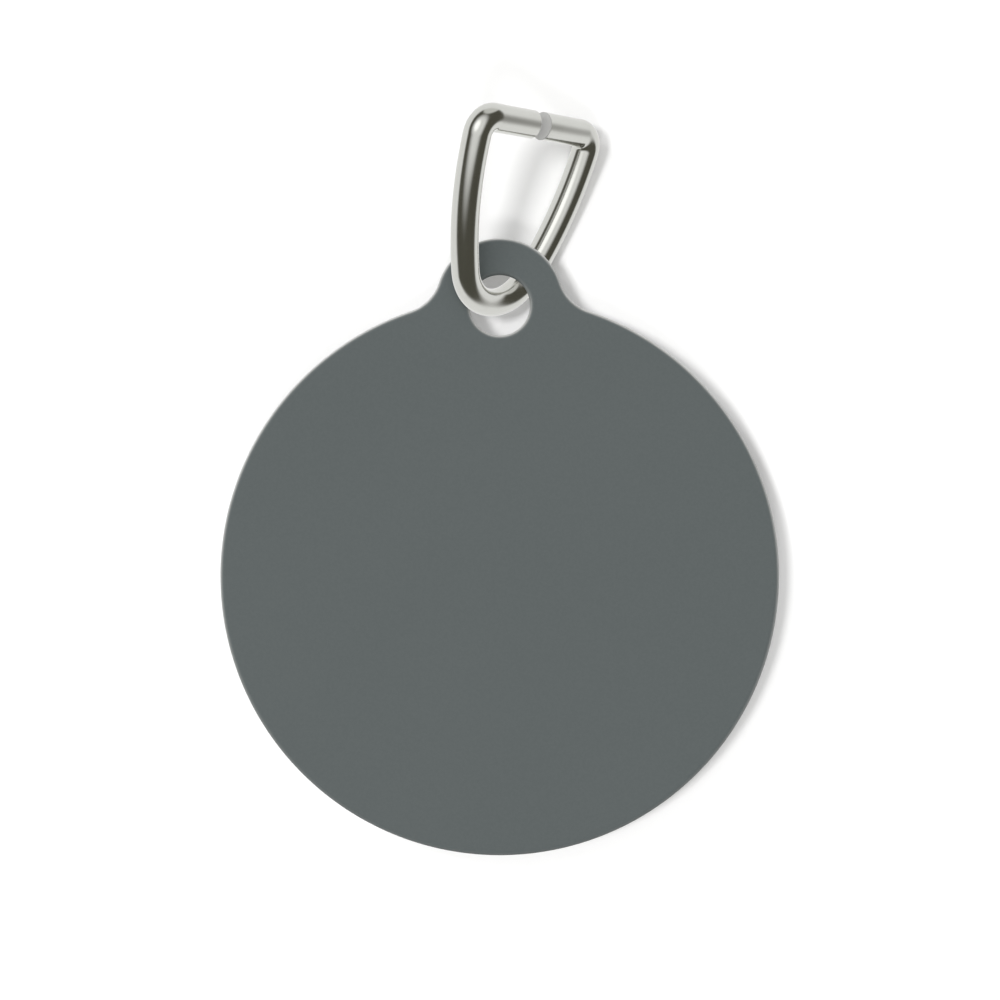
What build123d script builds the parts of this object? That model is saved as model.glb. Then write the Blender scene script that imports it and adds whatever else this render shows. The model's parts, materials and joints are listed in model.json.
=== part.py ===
from build123d import *
import os
from math import acos, asin, atan2, cos, degrees, hypot, radians, sin

# Round pet identity tag on a bent-wire triangular ring, lengths in millimetres.
# The tag lies flat with its face up (+Z) and its ear towards +Y. The origin is on the lowest level
# of the whole part, under the middle of its box.

# Tag: a stamped disc with a hanging ear, whose hole takes the ring's wire, measured over its coat
disc_diameter = 25.4
blank_thickness = 0.6
edge_round = 0.2
ear_wall = 1.525
ear_inset = 0.25
neck_fillet = 2.05
hole_play = 1.5
hole_drop = 0.15

# Face coat: a thin coloured film over the face and its rounded edges, down to the bare sides
coat_thickness = 0.04

# Wire ring: bar, two corners, two bowed legs and the bend that hangs in the hole, along the wire's centre
wire_diameter = 1.25
bar_half_length = 2.98
bar_height = 8.225
corner_radius = 0.77
leg_radius = 16.0
bend_radius = 2.41

# Butt gap between the two wire ends, in the bar
gap_width = 0.63
gap_offset = -0.04
gap_slant_deg = 8.0

# How the ring stands in the hole: its least gap to the rims, its angles and the place of its bend
hole_clearance = 0.08
bend_turn_deg = 11.1
ring_lean_deg = 23.3
ring_roll_deg = 2.45
bend_aside = 0.47
bend_above = 0.12
bend_rise = 0.19

# Extra depth of the cut between the wire ends
overrun = 1.0

disc_radius = disc_diameter / 2
wire_radius = wire_diameter / 2
hole_radius = (wire_diameter + hole_play) / 2
ear_radius = hole_radius + ear_wall
ear_centre_height = disc_radius - ear_inset
hole_centre_height = ear_centre_height - hole_drop
face_height = blank_thickness + coat_thickness
shoulder_height = blank_thickness - edge_round


def tag_outline():
    """Plan of the tag: disc and ear, joined by a hollow blend on each side, without the hole."""
    to_disc = disc_radius + neck_fillet
    to_ear = ear_radius + neck_fillet
    blend_y = (to_disc**2 - to_ear**2 + ear_centre_height**2) / (2 * ear_centre_height)
    blend_x = (to_disc**2 - blend_y**2) ** 0.5
    half_turn_deg = 180.0
    from_disc = degrees(atan2(blend_y, blend_x))
    from_ear = degrees(atan2(blend_y - ear_centre_height, blend_x))
    disc = CenterArc((0, 0), disc_radius, from_disc, -half_turn_deg - 2 * from_disc)
    ear = CenterArc((0, ear_centre_height), ear_radius, from_ear, half_turn_deg - 2 * from_ear)
    blend = CenterArc((blend_x, blend_y), neck_fillet, half_turn_deg + from_disc, from_ear - from_disc)
    return Face(Wire([disc, blend, ear, blend.mirror(Plane.YZ)]))


def tag_plan(inset):
    """Plan of the tag with its hole, drawn in from the coated size by the inset."""
    return offset(tag_outline(), -inset) - Pos(0, hole_centre_height) * Circle(hole_radius + inset)


def make_blank():
    """The bare metal plate with its hole, all its edges rounded on both faces."""
    plate = extrude(tag_plan(coat_thickness), blank_thickness, dir=(0, 0, 1))
    rims = plate.edges().filter_by(lambda e: e.bounding_box().size.Z < edge_round)
    return fillet(rims, edge_round)


def make_coat(blank):
    """The film on the blank's face, of even thickness, as far down as the edges are round."""
    cover = extrude(tag_plan(0), face_height, dir=(0, 0, 1))
    rims = cover.edges().filter_by_position(Axis.Z, face_height, face_height)
    cover = fillet(rims, edge_round + coat_thickness) - blank
    return split(cover, Plane.XY.offset(shoulder_height), keep=Keep.TOP)


def leg_arc_centre():
    """Centre of the right leg's arc, which touches the bend and the corner from outside."""
    run = bar_half_length
    rise = bar_height - corner_radius - bend_radius
    span = hypot(run, rise)
    to_bend = leg_radius - bend_radius
    to_corner = leg_radius - corner_radius
    spread = acos((to_bend**2 + span**2 - to_corner**2) / (2 * to_bend * span))
    heading = atan2(rise, run) + spread
    return to_bend * cos(heading), bend_radius + to_bend * sin(heading)


def ring_path():
    """Closed centre line of the ring in its own plane, from the gap round to the gap."""
    leg_x, leg_y = leg_arc_centre()
    half_turn_deg = 180.0
    corner_deg = degrees(atan2(bar_half_length - leg_x, bar_height - corner_radius - leg_y))
    bend_deg = degrees(atan2(-leg_x, leg_y - bend_radius))
    bar = Line((gap_offset, bar_height), (bar_half_length, bar_height))
    corner = JernArc(bar @ 1, bar % 1, corner_radius, -corner_deg)
    leg = JernArc(corner @ 1, corner % 1, leg_radius, corner_deg + bend_deg - half_turn_deg)
    bend = JernArc(leg @ 1, leg % 1, bend_radius, -bend_deg)
    left = [arc.mirror(Plane.YZ) for arc in (bend, leg, corner)]
    bar_left = Line((-bar_half_length, bar_height), (gap_offset, bar_height))
    return Wire([bar, corner, leg, bend, *left, bar_left])


def flat_ring():
    """The bent wire in its own plane, with the slanting cut between its ends."""
    path = ring_path()
    gap_centre = (gap_offset, bar_height, 0)
    section = Plane(gap_centre, x_dir=(0, 1, 0), z_dir=(1, 0, 0)) * Circle(wire_radius)
    wire = sweep(section, path=path)
    cut_depth = wire_diameter + overrun
    cut = Box(gap_width * cos(radians(gap_slant_deg)), cut_depth, cut_depth)
    return wire - Pos(gap_centre) * Rot(0, -gap_slant_deg, 0) * cut


def pass_angle():
    """Steepness at which a straight wire clears both rims of the hole, in degrees."""
    reach = wire_diameter + 2 * hole_clearance + 2 * edge_round + coat_thickness
    across = 2 * (hole_radius + coat_thickness + edge_round)
    deep = blank_thickness - 2 * edge_round
    return degrees(asin(reach / hypot(across, deep)) + atan2(deep, across))


def ring_place():
    """Where the ring's bend lies in the hole, and how the ring stands there."""
    bend = Pos(-bend_aside, hole_centre_height + bend_above, face_height / 2 + bend_rise)
    turn = Rot(0, pass_angle() + bend_turn_deg, 0)
    return bend * Rot(0, 0, ring_roll_deg) * turn * Rot(ring_lean_deg, 0, 0)


place = ring_place()
blank = make_blank()
pieces = {
    "tag_blank": blank,
    "face_coat": make_coat(blank),
    "wire_ring": place * flat_ring(),
}

# Move the whole part so that its origin is on its lowest level, under the middle of its box
box = Compound(list(pieces.values())).bounding_box()
shift = Pos(-box.center().X, -box.center().Y, -box.min.Z)

os.makedirs("parts", exist_ok=True)
for name, piece in pieces.items():
    export_step(shift * piece, f"parts/{name}.step")

hole_centre = shift * Pos(0, hole_centre_height, face_height / 2)
bar_inside = shift * place * Pos(0, bar_height - wire_radius, 0)
bar_outside = shift * place * Pos(0, bar_height + wire_radius, 0)
pull = (bar_outside.position - bar_inside.position).normalized()
wire_length = pieces["wire_ring"].volume / Circle(wire_radius).area
print("hole centre", hole_centre.position)
print("inside of the bar", bar_inside.position, "pull along", pull)
print("box", box.size, "wire length", wire_length, "of", ring_path().length - gap_width)
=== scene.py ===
import json
import math

import bmesh
import bpy
from mathutils import Matrix, Vector


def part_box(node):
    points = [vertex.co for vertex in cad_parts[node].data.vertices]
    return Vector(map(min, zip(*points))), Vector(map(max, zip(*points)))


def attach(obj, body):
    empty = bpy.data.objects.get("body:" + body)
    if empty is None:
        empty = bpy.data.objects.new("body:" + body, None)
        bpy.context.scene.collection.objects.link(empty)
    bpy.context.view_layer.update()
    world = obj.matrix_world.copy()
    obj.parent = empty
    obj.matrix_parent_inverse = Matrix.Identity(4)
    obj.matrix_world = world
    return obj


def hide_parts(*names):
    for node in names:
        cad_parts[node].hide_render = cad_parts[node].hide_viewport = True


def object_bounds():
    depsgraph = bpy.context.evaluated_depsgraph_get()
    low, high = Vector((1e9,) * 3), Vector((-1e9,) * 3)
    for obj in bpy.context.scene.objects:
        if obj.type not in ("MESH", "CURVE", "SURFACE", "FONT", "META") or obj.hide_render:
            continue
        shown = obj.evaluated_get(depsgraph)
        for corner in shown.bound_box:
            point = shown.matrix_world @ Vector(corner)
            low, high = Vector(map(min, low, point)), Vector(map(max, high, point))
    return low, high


# A round pet identity tag with a slate coated face, on a bent-wire triangular ring.
# Lengths are in metres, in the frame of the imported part: face up (+Z), ear towards +Y.

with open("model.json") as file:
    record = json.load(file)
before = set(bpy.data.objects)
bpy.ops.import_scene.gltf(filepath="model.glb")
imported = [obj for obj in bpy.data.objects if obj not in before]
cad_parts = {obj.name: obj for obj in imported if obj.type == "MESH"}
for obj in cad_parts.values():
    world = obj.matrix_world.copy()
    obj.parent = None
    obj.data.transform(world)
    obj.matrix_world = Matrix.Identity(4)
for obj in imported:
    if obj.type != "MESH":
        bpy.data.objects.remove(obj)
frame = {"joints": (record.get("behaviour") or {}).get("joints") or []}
cad_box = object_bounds()

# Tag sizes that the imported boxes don't give
HOLE_RADIUS = 0.001375
HOLE_DROP = 0.00015
NECK_FILLET = 0.00205

# Wire ring in its own plane, along the wire's centre, with its bend at the origin
WIRE_RADIUS = 0.000625
BAR_HALF_LENGTH = 0.00298
BAR_HEIGHT = 0.008225
CORNER_RADIUS = 0.00077
LEG_RADIUS = 0.016
BEND_RADIUS = 0.00241

# Butt gap between the sheared wire ends
GAP_WIDTH = 0.00063
GAP_OFFSET = -0.00004
GAP_SLANT = math.radians(8.0)
END_ROUND = 0.00004

# How the ring stands in the hole
RING_TURN = math.radians(49.51)
RING_LEAN = math.radians(23.3)
RING_ROLL = math.radians(2.45)
BEND_PLACE = Vector((-0.00047, 0.00012, 0.00019))

# Mesh fineness, and how far a face may turn from a smooth normal before it is shaded flat
EDGE_STEP = 0.00012
LEAST_STEPS = 4
ROUND_STEPS = 8
WIRE_STEP = 0.00006
WIRE_SIDES = 56
END_STEPS = 4
END_RINGS = 5
SHARP_TURN = math.radians(50.0)

# Noise behind the finishes: the span of its values that is used, and its detail
NOISE_LOW = 0.3
NOISE_HIGH = 0.7
PLAIN_DETAIL = 2.0
FINE_DETAIL = 3.0

# Slate film: a fine fleck, a slow drift of its sheen and an orange-peel skin
SLATE_DARK = (0.106, 0.122, 0.123)
SLATE_PALE = (0.112, 0.128, 0.129)
SLATE_ROUGH = (0.66, 0.74)
SLATE_SHINE = 0.25
FLECK_SCALE = 9000.0
DRIFT_SCALE = 120.0
SKIN_SCALE = 2600.0
SKIN_DEPTH = 0.000004
SKIN_STRENGTH = 0.2

# Painted highlight on the film's rounded lip: how far its rounded edges lean, and how far they face the
# ring's end
LIP_HIGHLIGHT_PALE = (0.68, 0.685, 0.675)
LIP_HIGHLIGHT_LEVEL = 1.0
LIP_HIGHLIGHT_STEEP = 0.52
LIP_HIGHLIGHT_AWAY = -1.0
LIP_HIGHLIGHT_TOWARDS = 1.0

# Handling marks on bare metal: lines that run along X, and dull spots
LINE_SCALE = (300, 14000, 14000)
SPOT_SCALE = 900.0
SPOT_LOW = 0.35
SPOT_HIGH = 0.7

# Bare aluminium of the blank
BARE_CLEAN = (0.60, 0.60, 0.60)
BARE_DULL = (0.57, 0.57, 0.573)
BARE_ROUGH = (0.26, 0.42)
BARE_LINE_DEPTH = 0.000003
BARE_LINE_STRENGTH = 0.3

# Bright wire
WIRE_CLEAN = (0.655, 0.657, 0.622)
WIRE_DULL = (0.635, 0.637, 0.602)
WIRE_ROUGH = (0.13, 0.18)
WIRE_LINE_DEPTH = 0.0000004
WIRE_LINE_STRENGTH = 0.1

# Sheared wire ends, the second of the wire's finishes
SHEAR_SLOT = 1
SHEAR_DARK = (0.52, 0.52, 0.51)
SHEAR_PALE = (0.60, 0.60, 0.59)
SHEAR_METALLIC = 0.4
SHEAR_ROUGH = (0.5, 0.62)
SHEAR_SCALE = (2500, 2500, 16000)
SHEAR_DEPTH = 0.000006
SHEAR_STRENGTH = 0.4

# Camera
CAMERA_ASIDE = 0.000012
CAMERA_AHEAD = 0.00345
CAMERA_RISE = 0.0907
CAMERA_LENS = 72.0
CAMERA_SENSOR = 36.0
NEAR_CLIP = 0.005
FAR_CLIP = 50.0

# Floor
FLOOR_RADIUS = 8.0
FLOOR_SIDES = 96
FLOOR_WHITE = 0.95
FLOOR_LIFT = 0.03

# Lamps and world: a tilt is measured from +Z and a bearing from +X
KEY_TILT = math.radians(21.5)
KEY_BEARING = math.radians(178.0)
KEY_ANGLE = math.radians(11.0)
KEY_STRENGTH = 1.25
FRONT_TILT = math.radians(31.0)
FRONT_BEARING = math.radians(261.0)
FRONT_ANGLE = math.radians(12.0)
FRONT_STRENGTH = 0.48
SIDE_TILT = math.radians(37.5)
SIDE_BEARING = math.radians(139.0)
SIDE_ANGLE = math.radians(6.0)
SIDE_STRENGTH = 0.34
TOP_TILT = math.radians(2.0)
TOP_BEARING = math.radians(180.0)
TOP_ANGLE = math.radians(26.0)
TOP_STRENGTH = 1.2
FILL_TILT = math.radians(22.0)
FILL_BEARING = math.radians(168.0)
FILL_ANGLE = math.radians(26.0)
FILL_STRENGTH = 0.37
CANOPY_TILT = math.radians(4.6)
CANOPY_BEARING = math.radians(139.0)
CANOPY_INNER = math.radians(27.0)
CANOPY_OUTER = math.radians(55.0)
CANOPY_LIGHT = (0.93, 0.93, 0.93)
GLOW_TILT = math.radians(19.0)
GLOW_BEARING = math.radians(142.0)
GLOW_INNER = math.radians(5.0)
GLOW_OUTER = math.radians(25.0)
GLOW_GAIN = 1.7
WALL_LIGHT = (0.092, 0.089, 0.072)
CARD_TILT = math.radians(80.0)
CARD_BEARING = math.radians(68.0)
CARD_INNER = math.radians(22.0)
CARD_OUTER = math.radians(31.0)
CARD_LIGHT = (0.72, 0.72, 0.70)
GROUND_TILT = math.radians(13.6)
GROUND_BEARING = math.radians(-30.0)
GROUND_LOW = -0.10
GROUND_HIGH = 0.14
GROUND_LIGHT = (0.97, 0.97, 0.97)

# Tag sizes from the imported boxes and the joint
blank_low, blank_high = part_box("tag_blank")
coat_low, coat_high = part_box("face_coat")
hole_centre = Vector(frame["joints"][0]["pos_m"])
disc_radius = (coat_high.x - coat_low.x) / 2
disc_centre_y = coat_low.y + disc_radius
coat_thickness = coat_high.z - blank_high.z
edge_round = blank_high.z - coat_low.z
ear_centre_y = hole_centre.y + HOLE_DROP
ear_radius = coat_high.y - ear_centre_y


# Meshes

def finished_mesh(bm, name, normals):
    """The mesh with its true surface normals, except on faces that they don't belong to."""
    mesh = bpy.data.meshes.new(name)
    bm.to_mesh(mesh)
    bm.free()
    square_on = math.cos(SHARP_TURN)
    shading = []
    for face in mesh.polygons:
        face.use_smooth = True
        for corner in face.vertices:
            normal = Vector(normals[corner])
            shading.append(normal if normal.dot(face.normal) > square_on else face.normal.copy())
    mesh.normals_split_custom_set(shading)
    return mesh


def arc(centre, radius, start, sweep, outwards):
    """Points of an arc with their outward normals, without the last point."""
    count = max(LEAST_STEPS, math.ceil(abs(sweep) * radius / EDGE_STEP))
    found = []
    for i in range(count):
        angle = start + sweep * i / count
        ray = Vector((math.cos(angle), math.sin(angle)))
        found.append((Vector(centre) + radius * ray, outwards * ray))
    return found


def tag_edge():
    """The coated tag's outer edge, anticlockwise: disc, right blend, ear, left blend."""
    rise = ear_centre_y - disc_centre_y
    to_disc = disc_radius + NECK_FILLET
    to_ear = ear_radius + NECK_FILLET
    blend_rise = (to_disc**2 - to_ear**2 + rise**2) / (2 * rise)
    blend_x = math.sqrt(to_disc**2 - blend_rise**2)
    blend_y = disc_centre_y + blend_rise
    from_disc = math.atan2(blend_rise, blend_x)
    from_ear = math.atan2(blend_rise - rise, blend_x)
    turn = from_ear - from_disc
    return [
        *arc((0, disc_centre_y), disc_radius, math.pi - from_disc, math.pi + 2 * from_disc, 1),
        *arc((blend_x, blend_y), NECK_FILLET, math.pi + from_disc, turn, -1),
        *arc((0, ear_centre_y), ear_radius, from_ear, math.pi - 2 * from_ear, 1),
        *arc((-blend_x, blend_y), NECK_FILLET, -from_ear, turn, -1),
    ]


def hole_edge():
    """The coated tag's hole, clockwise, with normals towards its middle."""
    return arc(hole_centre.xy, HOLE_RADIUS, 0, -math.tau, -1)


def rounded(radius, centre_inset, centre_height, start, stop, side=1):
    """Section of a rounded edge: inset and height of each point, and its normal outwards and up."""
    found = []
    for i in range(ROUND_STEPS + 1):
        angle = start + (stop - start) * i / ROUND_STEPS
        out, up = math.cos(angle), math.sin(angle)
        found.append((centre_inset - radius * out, centre_height + radius * up, side * out, side * up))
    return found


def plate_mesh(name, section):
    """A closed plate with the tag's plan, whose edges follow the section from one flat to the other."""
    bm = bmesh.new()
    normals = []
    flats = ([], [])
    for edge in (tag_edge(), hole_edge()):
        loops = []
        for inset, height, out, up in section:
            loop = []
            for point, normal in edge:
                place = point - inset * normal
                loop.append(bm.verts.new((place.x, place.y, height)))
                normals.append((out * normal.x, out * normal.y, up))
            loops.append(loop)
        for low, high in zip(loops, loops[1:]):
            for i in range(len(low)):
                j = (i + 1) % len(low)
                bm.faces.new((low[i], low[j], high[j], high[i]))
        for flat, loop in zip(flats, (loops[0], loops[-1])):
            flat += [bm.edges.get((loop[i - 1], loop[i])) for i in range(len(loop))]
    for flat in flats:
        bmesh.ops.triangle_fill(bm, use_beauty=True, edges=flat)
    bmesh.ops.recalc_face_normals(bm, faces=bm.faces)
    return finished_mesh(bm, name, normals)


def blank_section():
    """Section of the bare plate: rounded back edge, straight side, rounded face edge."""
    centre = coat_thickness + edge_round
    quarter = math.pi / 2
    return [
        *rounded(edge_round, centre, blank_low.z + edge_round, -quarter, 0),
        *rounded(edge_round, centre, blank_high.z - edge_round, 0, quarter),
    ]


def coat_section():
    """Section of the film: along the plate, round its lip and back over the outside."""
    centre = coat_thickness + edge_round
    quarter = math.pi / 2
    return [
        *rounded(edge_round, centre, blank_high.z - edge_round, quarter, 0, -1),
        *rounded(edge_round + coat_thickness, centre, blank_high.z - edge_round, 0, quarter),
    ]


def leg_arc_centre():
    """Centre of the right leg's arc, which touches the bend and the corner from outside."""
    rise = BAR_HEIGHT - CORNER_RADIUS - BEND_RADIUS
    span = math.hypot(BAR_HALF_LENGTH, rise)
    to_bend = LEG_RADIUS - BEND_RADIUS
    to_corner = LEG_RADIUS - CORNER_RADIUS
    opening = math.acos((to_bend**2 + span**2 - to_corner**2) / (2 * to_bend * span))
    angle = math.atan2(rise, BAR_HALF_LENGTH) + opening
    return to_bend * math.cos(angle), BEND_RADIUS + to_bend * math.sin(angle)


def wire_line():
    """The wire's centre line from its right end round to its left end: points and outward normals."""
    leg_x, leg_y = leg_arc_centre()
    quarter = math.pi / 2
    corner_y = BAR_HEIGHT - CORNER_RADIUS
    at_corner = math.atan2(corner_y - leg_y, BAR_HALF_LENGTH - leg_x)
    at_bend = math.atan2(BEND_RADIUS - leg_y, -leg_x)
    arcs = (
        ((BAR_HALF_LENGTH, corner_y), CORNER_RADIUS, quarter, at_corner),
        ((leg_x, leg_y), LEG_RADIUS, at_corner, at_bend),
        ((0, BEND_RADIUS), BEND_RADIUS, at_bend, -quarter),
    )
    right = []
    for centre, radius, start, stop in arcs:
        count = math.ceil(abs(stop - start) * radius / WIRE_STEP)
        for i in range(count):
            angle = start + (stop - start) * i / count
            ray = Vector((math.cos(angle), math.sin(angle)))
            right.append((Vector(centre) + radius * ray, ray))
    foot = (Vector((0, 0)), Vector((0, -1)))
    left = [(Vector((-p.x, p.y)), Vector((-n.x, n.y))) for p, n in reversed(right)]
    return [*right, foot, *left]


def ring_place():
    """From the ring's own plane to where it stands in the hole."""
    turn = Matrix.Rotation(RING_ROLL, 4, "Z") @ Matrix.Rotation(RING_TURN, 4, "Y")
    return Matrix.Translation(hole_centre + BEND_PLACE) @ turn @ Matrix.Rotation(RING_LEAN, 4, "X")


def end_rings(side):
    """Place of a sheared end, and its rings from the full size inwards: radius and distance behind."""
    rings = []
    for i in range(END_STEPS + 1):
        angle = math.pi / 2 * i / END_STEPS
        radius = WIRE_RADIUS - END_ROUND * (1 - math.cos(angle))
        rings.append((radius, END_ROUND * (1 - math.sin(angle))))
    flat = rings[-1][0]
    rings += [(flat * (END_RINGS - i) / END_RINGS, 0.0) for i in range(1, END_RINGS)]
    cut_x = GAP_OFFSET + side * GAP_WIDTH / 2
    return cut_x, rings


def wire_mesh(name):
    """The bent wire as one closed tube, with its rounded, slanting cut ends."""
    bm = bmesh.new()
    lengthwise = bm.loops.layers.uv.new("along_wire")
    place = ring_place()
    normals = []
    loops = []
    spin = [math.tau * k / WIRE_SIDES for k in range(WIRE_SIDES)]

    def ring(points):
        """The next ring of the tube, from the ring's own plane."""
        loop = []
        for point, normal in points:
            loop.append(bm.verts.new(place @ point))
            normals.append(place.to_3x3() @ normal)
        loops.append(loop)

    def end_ring(cut_x, side, radius, behind):
        """The next ring, on a slanting cut."""
        points = []
        for angle in spin:
            up, out = math.cos(angle), math.sin(angle)
            x = cut_x + side * behind - radius * out * math.tan(GAP_SLANT)
            points.append((Vector((x, BAR_HEIGHT + radius * up, radius * out)), Vector((0, up, out))))
        ring(points)

    right_x, right_rings = end_rings(1)
    for radius, behind in reversed(right_rings):
        end_ring(right_x, 1, radius, behind)
    for point, ray in wire_line():
        points = []
        for angle in spin:
            normal = Vector((ray.x * math.cos(angle), ray.y * math.cos(angle), math.sin(angle)))
            points.append((Vector((point.x, point.y, 0)) + WIRE_RADIUS * normal, normal))
        ring(points)
    left_x, left_rings = end_rings(-1)
    for radius, behind in left_rings:
        end_ring(left_x, -1, radius, behind)

    cut_faces = []
    run = [0.0]
    for near, far in zip(loops, loops[1:]):
        run.append(run[-1] + (far[0].co - near[0].co).length)
    for row, (near, far) in enumerate(zip(loops, loops[1:])):
        for k in range(WIRE_SIDES):
            m = (k + 1) % WIRE_SIDES
            face = bm.faces.new((near[k], near[m], far[m], far[k]))
            for corner, (ahead, around) in zip(face.loops, ((0, 0), (0, 1), (1, 1), (1, 0))):
                corner[lengthwise].uv = (run[row + ahead], WIRE_RADIUS * spin[1] * (k + around))
            if row < END_RINGS + END_STEPS - 1 or row >= len(loops) - END_RINGS - END_STEPS:
                cut_faces.append(face)
    cut_faces += [bm.faces.new(loops[0]), bm.faces.new(loops[-1])]
    for face in cut_faces:
        face.material_index = SHEAR_SLOT
    bmesh.ops.recalc_face_normals(bm, faces=bm.faces)
    return finished_mesh(bm, name, normals)


# Node helpers

def put(tree, kind, **settings):
    """A new node with its settings."""
    made = tree.nodes.new(kind)
    for name, value in settings.items():
        setattr(made, name, value)
    return made


def feed(tree, made, **sockets):
    """Sets a node's inputs: a socket is linked, anything else is its plain value."""
    for name, value in sockets.items():
        socket = made.inputs[name.replace("_", " ")]
        if isinstance(value, bpy.types.NodeSocket):
            tree.links.new(value, socket)
        else:
            socket.default_value = value
    return made


def noise(tree, place, scale=1.0, detail=FINE_DETAIL):
    """Soft random values over the surface."""
    made = put(tree, "ShaderNodeTexNoise")
    feed(tree, made, Vector=place, Scale=scale, Detail=detail)
    return made.outputs["Fac"]


def stretched(tree, place, scale):
    """Coordinates scaled by axis, so that noise on them runs out into lines."""
    made = put(tree, "ShaderNodeMapping")
    feed(tree, made, Vector=place, Scale=scale)
    return made.outputs["Vector"]


def spread(tree, value, low, high, to_low, to_high):
    """A value moved from one range to another, softly and within its ends."""
    made = put(tree, "ShaderNodeMapRange", interpolation_type="SMOOTHSTEP")
    feed(tree, made, Value=value, From_Min=low, From_Max=high, To_Min=to_low, To_Max=to_high)
    return made.outputs["Result"]


def ranged(tree, value, ends):
    """Noise moved to the range between two ends."""
    return spread(tree, value, NOISE_LOW, NOISE_HIGH, *ends)


def between(tree, share, first, second):
    """A colour between two colours, each a plain colour or another node's."""
    made = put(tree, "ShaderNodeMix", data_type="RGBA")
    # A Mix node has sockets for every kind of data: 6 and 7 take its colours, and 2 gives the mixed one
    tree.links.new(share, made.inputs[0])
    for socket, colour in zip((made.inputs[6], made.inputs[7]), (first, second)):
        if isinstance(colour, bpy.types.NodeSocket):
            tree.links.new(colour, socket)
        else:
            socket.default_value = (*colour, 1)
    return made.outputs[2]


def worked(tree, operation, first, second):
    """A sum, product or other working of two values."""
    made = put(tree, "ShaderNodeMath", operation=operation)
    for socket, value in zip(made.inputs, (first, second)):
        if isinstance(value, bpy.types.NodeSocket):
            tree.links.new(value, socket)
        else:
            socket.default_value = value
    return made.outputs["Value"]


def along(tree, place, direction):
    """How far a place lies along a direction."""
    made = put(tree, "ShaderNodeVectorMath", operation="DOT_PRODUCT")
    tree.links.new(place, made.inputs[0])
    made.inputs[1].default_value = direction
    return made.outputs["Value"]


def raised(tree, height, depth, strength):
    """Normals of a fine relief."""
    made = put(tree, "ShaderNodeBump")
    feed(tree, made, Strength=strength, Distance=depth, Height=height)
    return made.outputs["Normal"]


def new_material(name):
    """An empty material: its tree and its Principled shader."""
    material = bpy.data.materials.new(name)
    material.use_nodes = True
    tree = material.node_tree
    return material, tree, tree.nodes["Principled BSDF"]


def rubbed_metal_group():
    """Fine rub lines and dull spots that handling leaves on bare metal."""
    group = bpy.data.node_groups.new("rubbed_metal", "ShaderNodeTree")
    sockets = group.interface
    sockets.new_socket("Vector", in_out="INPUT", socket_type="NodeSocketVector")
    sockets.new_socket("Lines", in_out="OUTPUT", socket_type="NodeSocketFloat")
    sockets.new_socket("Dullness", in_out="OUTPUT", socket_type="NodeSocketFloat")
    way_in = put(group, "NodeGroupInput")
    way_out = put(group, "NodeGroupOutput")
    place = way_in.outputs["Vector"]
    lines = noise(group, stretched(group, place, LINE_SCALE))
    spots = noise(group, place, SPOT_SCALE)
    feed(group, way_out, Lines=lines, Dullness=spread(group, spots, SPOT_LOW, SPOT_HIGH, 0, 1))
    return group


def rubbed_metal(tree, group, place):
    """The rub lines and dull spots, placed in a material."""
    made = put(tree, "ShaderNodeGroup", node_tree=group)
    tree.links.new(place, made.inputs["Vector"])
    return made.outputs["Lines"], made.outputs["Dullness"]


# Materials

def slate_coat():
    """Matte slate film with a fine fleck and a slight orange-peel skin, with a painted highlight along
    its lip.
    """
    material, tree, shader = new_material("slate_coat")
    coords = put(tree, "ShaderNodeTexCoord")
    place = coords.outputs["Object"]
    facing = coords.outputs["Normal"]
    fleck = noise(tree, place, FLECK_SCALE, PLAIN_DETAIL)
    drift = noise(tree, place, DRIFT_SCALE, PLAIN_DETAIL)
    skin = noise(tree, place, SKIN_SCALE)
    slate = between(tree, ranged(tree, fleck, (0, 1)), SLATE_DARK, SLATE_PALE)
    # Painted highlight: the lip is made pale where its rounded edge leans over, and most where it faces
    # +Y, towards the ring's end
    lean = spread(tree, along(tree, facing, (0, 0, 1)), LIP_HIGHLIGHT_STEEP, LIP_HIGHLIGHT_LEVEL, 1, 0)
    side = spread(tree, along(tree, facing, (0, 1, 0)), LIP_HIGHLIGHT_AWAY, LIP_HIGHLIGHT_TOWARDS, 0, 1)
    lip_highlight = worked(tree, "MULTIPLY", lean, side)
    feed(
        tree,
        shader,
        Base_Color=between(tree, lip_highlight, slate, LIP_HIGHLIGHT_PALE),
        Roughness=ranged(tree, drift, SLATE_ROUGH),
        Normal=raised(tree, skin, SKIN_DEPTH, SKIN_STRENGTH),
        Specular_IOR_Level=SLATE_SHINE,
    )
    return material


def bare_back(group):
    """Satin aluminium with a straight grain."""
    material, tree, shader = new_material("bare_aluminium")
    coords = put(tree, "ShaderNodeTexCoord")
    lines, dullness = rubbed_metal(tree, group, coords.outputs["Object"])
    feed(
        tree,
        shader,
        Base_Color=between(tree, dullness, BARE_CLEAN, BARE_DULL),
        Metallic=1.0,
        Roughness=ranged(tree, lines, BARE_ROUGH),
        Normal=raised(tree, lines, BARE_LINE_DEPTH, BARE_LINE_STRENGTH),
    )
    return material


def bright_wire(group):
    """Polished nickel-look wire with faint lines from drawing."""
    material, tree, shader = new_material("bright_wire")
    coords = put(tree, "ShaderNodeTexCoord")
    lines, dullness = rubbed_metal(tree, group, coords.outputs["UV"])
    feed(
        tree,
        shader,
        Base_Color=between(tree, dullness, WIRE_CLEAN, WIRE_DULL),
        Metallic=1.0,
        Roughness=ranged(tree, lines, WIRE_ROUGH),
        Normal=raised(tree, lines, WIRE_LINE_DEPTH, WIRE_LINE_STRENGTH),
    )
    return material


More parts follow.
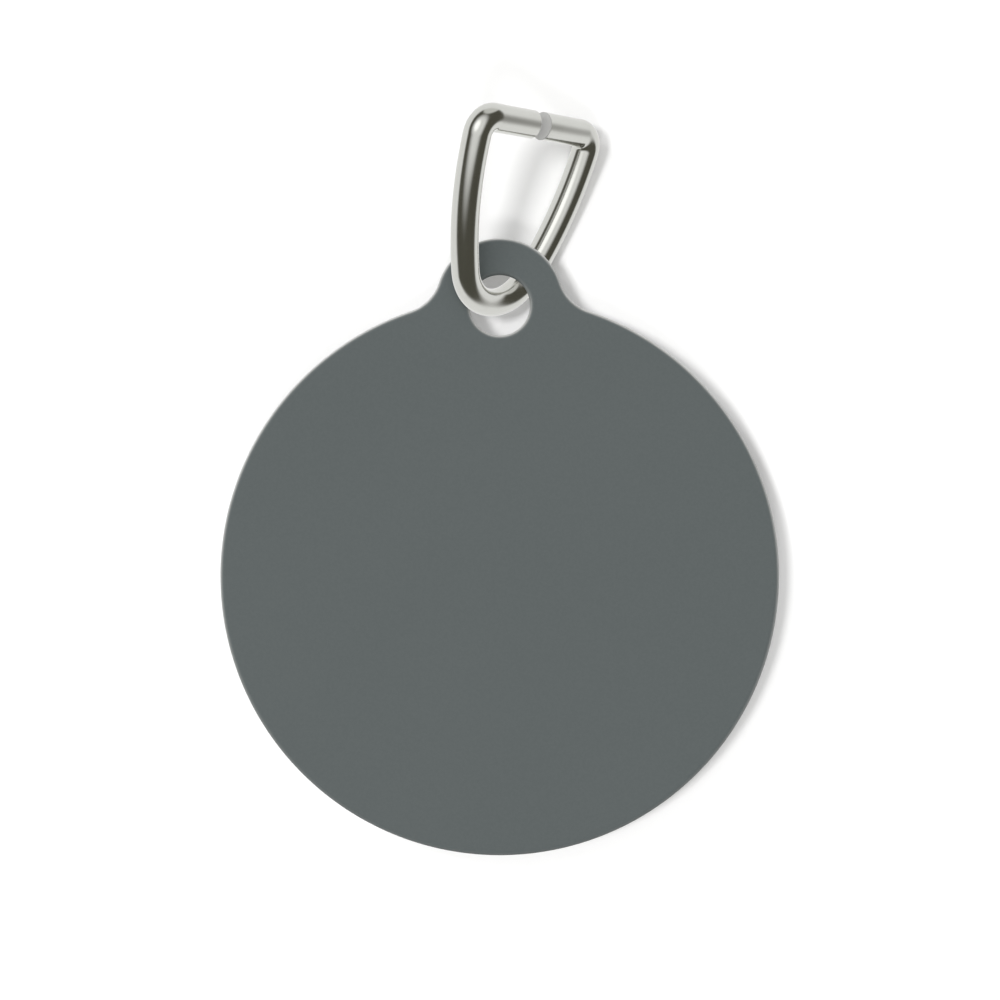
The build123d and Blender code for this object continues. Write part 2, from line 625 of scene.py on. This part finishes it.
def cut_end():
    """Dull sheared metal on the wire's two ends."""
    material, tree, shader = new_material("sheared_wire_end")
    coords = put(tree, "ShaderNodeTexCoord")
    marks = noise(tree, stretched(tree, coords.outputs["Object"], SHEAR_SCALE))
    feed(
        tree,
        shader,
        Base_Color=between(tree, marks, SHEAR_DARK, SHEAR_PALE),
        Metallic=SHEAR_METALLIC,
        Roughness=ranged(tree, marks, SHEAR_ROUGH),
        Normal=raised(tree, marks, SHEAR_DEPTH, SHEAR_STRENGTH),
    )
    return material


def white_floor():
    """Plain white sheet, seen from above only, with a little light of its own in its shadows."""
    material, tree, shader = new_material("white_floor")
    tree.nodes.remove(shader)
    sheet = put(tree, "ShaderNodeBsdfDiffuse")
    feed(tree, sheet, Color=(FLOOR_WHITE, FLOOR_WHITE, FLOOR_WHITE, 1))
    rays = put(tree, "ShaderNodeLightPath")
    seen = worked(tree, "ADD", rays.outputs["Is Camera Ray"], rays.outputs["Is Glossy Ray"])
    seen = worked(tree, "ADD", seen, rays.outputs["Is Transmission Ray"])
    lift = put(tree, "ShaderNodeEmission")
    feed(tree, lift, Strength=worked(tree, "MULTIPLY", seen, FLOOR_LIFT))
    lifted = put(tree, "ShaderNodeAddShader")
    tree.links.new(sheet.outputs[0], lifted.inputs[0])
    tree.links.new(lift.outputs[0], lifted.inputs[1])
    clear = put(tree, "ShaderNodeBsdfTransparent")
    below = put(tree, "ShaderNodeNewGeometry")
    mix = put(tree, "ShaderNodeMixShader")
    tree.links.new(below.outputs["Backfacing"], mix.inputs[0])
    tree.links.new(lifted.outputs[0], mix.inputs[1])
    tree.links.new(clear.outputs[0], mix.inputs[2])
    tree.links.new(mix.outputs[0], tree.nodes["Material Output"].inputs["Surface"])
    return material


# Pieces

def new_piece(mesh, body, node, slot, *materials):
    """A piece that stands for a CAD node and moves with its body."""
    piece = bpy.data.objects.new(mesh.name, mesh)
    bpy.context.scene.collection.objects.link(piece)
    for material in materials:
        mesh.materials.append(material)
    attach(piece, body)
    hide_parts(node)
    return piece


rub = rubbed_metal_group()
blank_plate = plate_mesh("stamped_blank", blank_section())
face_film = plate_mesh("slate_face", coat_section())
ring_wire = wire_mesh("bent_wire")
blank = new_piece(blank_plate, "tag", "tag_blank", "bare_metal", bare_back(rub))
face = new_piece(face_film, "tag", "face_coat", "slate_coat", slate_coat())
ring = new_piece(ring_wire, "ring", "wire_ring", "bright_wire", bright_wire(rub), cut_end())

# The wire mirrors the world's white ground in place of the tag
blank.visible_glossy = False
face.visible_glossy = False


# Studio

def heading(tilt, bearing):
    """Unit vector at a tilt from +Z and a bearing from +X."""
    flat = math.sin(tilt)
    return Vector((flat * math.cos(bearing), flat * math.sin(bearing), math.cos(tilt)))


def make_floor():
    """A wide level sheet under the part. The wire mirrors the world's white ground in its place."""
    bm = bmesh.new()
    bmesh.ops.create_circle(bm, cap_ends=True, segments=FLOOR_SIDES, radius=FLOOR_RADIUS)
    mesh = bpy.data.meshes.new("floor")
    bm.to_mesh(mesh)
    bm.free()
    mesh.materials.append(white_floor())
    floor = bpy.data.objects.new("floor", mesh)
    floor.location.z = cad_box[0].z
    floor.visible_glossy = False
    bpy.context.scene.collection.objects.link(floor)
    return floor


def soft_patch(tree, way, middle, inner, outer, beyond, within):
    """A round patch of the world, whose value changes between two angles from its middle."""
    return spread(tree, along(tree, way, middle), math.cos(outer), math.cos(inner), beyond, within)


def make_world():
    """Soft canopy of light overhead with a brighter glow in it, dim walls round it and white ground.

    A pale card behind the ring shows in the metal alone.
    """
    world = bpy.data.worlds.new("studio")
    bpy.context.scene.world = world
    world.use_nodes = True
    tree = world.node_tree
    way = put(tree, "ShaderNodeTexCoord").outputs["Generated"]
    upwards = along(tree, way, heading(GROUND_TILT, GROUND_BEARING))
    ground = spread(tree, upwards, GROUND_LOW, GROUND_HIGH, 1, 0)
    canopy_middle = heading(CANOPY_TILT, CANOPY_BEARING)
    canopy = soft_patch(tree, way, canopy_middle, CANOPY_INNER, CANOPY_OUTER, 0, 1)
    glow_middle = heading(GLOW_TILT, GLOW_BEARING)
    glow = soft_patch(tree, way, glow_middle, GLOW_INNER, GLOW_OUTER, 1, GLOW_GAIN)
    card_middle = heading(CARD_TILT, CARD_BEARING)
    card = soft_patch(tree, way, card_middle, CARD_INNER, CARD_OUTER, 0, 1)
    rays = put(tree, "ShaderNodeLightPath")
    card = worked(tree, "MULTIPLY", card, rays.outputs["Is Glossy Ray"])
    above = between(tree, canopy, between(tree, card, WALL_LIGHT, CARD_LIGHT), CANOPY_LIGHT)
    feed(tree, tree.nodes["Background"], Color=between(tree, ground, above, GROUND_LIGHT), Strength=glow)


def make_lamp(name, strength, angle, tilt, bearing, *lit):
    """A soft far lamp that lights the given things and isn't mirrored in them."""
    lamp = bpy.data.lights.new(name, "SUN")
    lamp.energy = strength
    lamp.angle = angle
    made = bpy.data.objects.new(name, lamp)
    made.rotation_mode = "QUATERNION"
    made.rotation_quaternion = heading(tilt, bearing).to_track_quat("Z", "Y")
    made.visible_glossy = False
    bpy.context.scene.collection.objects.link(made)
    lights = bpy.data.collections.new(name + "_lights")
    for thing in lit:
        lights.objects.link(thing)
    made.light_linking.receiver_collection = lights


def make_camera():
    """Straight above the face, with the ear up in the picture."""
    lens = bpy.data.cameras.new("camera")
    lens.lens = CAMERA_LENS
    lens.sensor_width = CAMERA_SENSOR
    lens.clip_start = NEAR_CLIP
    lens.clip_end = FAR_CLIP
    camera = bpy.data.objects.new("camera", lens)
    camera.location = (CAMERA_ASIDE, disc_centre_y + CAMERA_AHEAD, coat_high.z + CAMERA_RISE)
    bpy.context.scene.collection.objects.link(camera)
    bpy.context.scene.camera = camera


floor = make_floor()
make_world()
make_lamp("key", KEY_STRENGTH, KEY_ANGLE, KEY_TILT, KEY_BEARING, floor)
make_lamp("front", FRONT_STRENGTH, FRONT_ANGLE, FRONT_TILT, FRONT_BEARING, floor)
make_lamp("side", SIDE_STRENGTH, SIDE_ANGLE, SIDE_TILT, SIDE_BEARING, floor)
make_lamp("top", TOP_STRENGTH, TOP_ANGLE, TOP_TILT, TOP_BEARING, blank, face, ring)
make_lamp("fill", FILL_STRENGTH, FILL_ANGLE, FILL_TILT, FILL_BEARING, blank, face, ring)
make_camera()
bpy.context.scene.view_settings.view_transform = "Standard"
